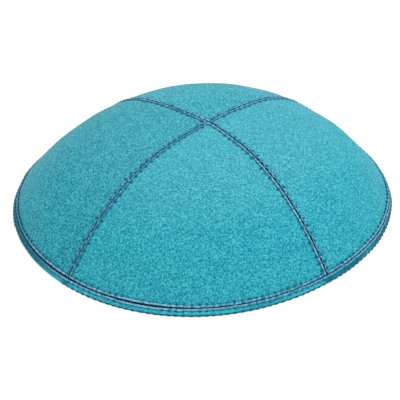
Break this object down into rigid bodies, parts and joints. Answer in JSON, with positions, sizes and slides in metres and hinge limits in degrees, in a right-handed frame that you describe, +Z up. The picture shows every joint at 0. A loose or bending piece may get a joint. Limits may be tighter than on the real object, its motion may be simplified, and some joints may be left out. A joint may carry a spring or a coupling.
{
  "type": "kippah skullcap",
  "caption": "Soft suede skullcap: a shallow domed crown of sewn gores with raw-edged seams, and a narrow folded band round its open rim.",
  "frame": {"origin": "on the surface that the cap rests on, at the centre of the circle that the rim follows", "axes": "+Z up through the crown; -Y towards the front gore, the one nearest in the picture; +X to the picture's right"},
  "size_m": [0.172, 0.1772, 0.0422],
  "materials": {
    "suede": "matt dyed suede with a short brushed nap",
    "cut_edge": "matt, the pale undyed core of the suede at its cut edges",
    "thread": "matt twisted sewing thread"
  },
  "bodies": {
    "root": {"crown_gore_front": "suede", "crown_gore_right": "suede", "crown_gore_back": "suede", "crown_gore_left": "suede", "rim_band": "suede"}
  },
  "joints": []
}
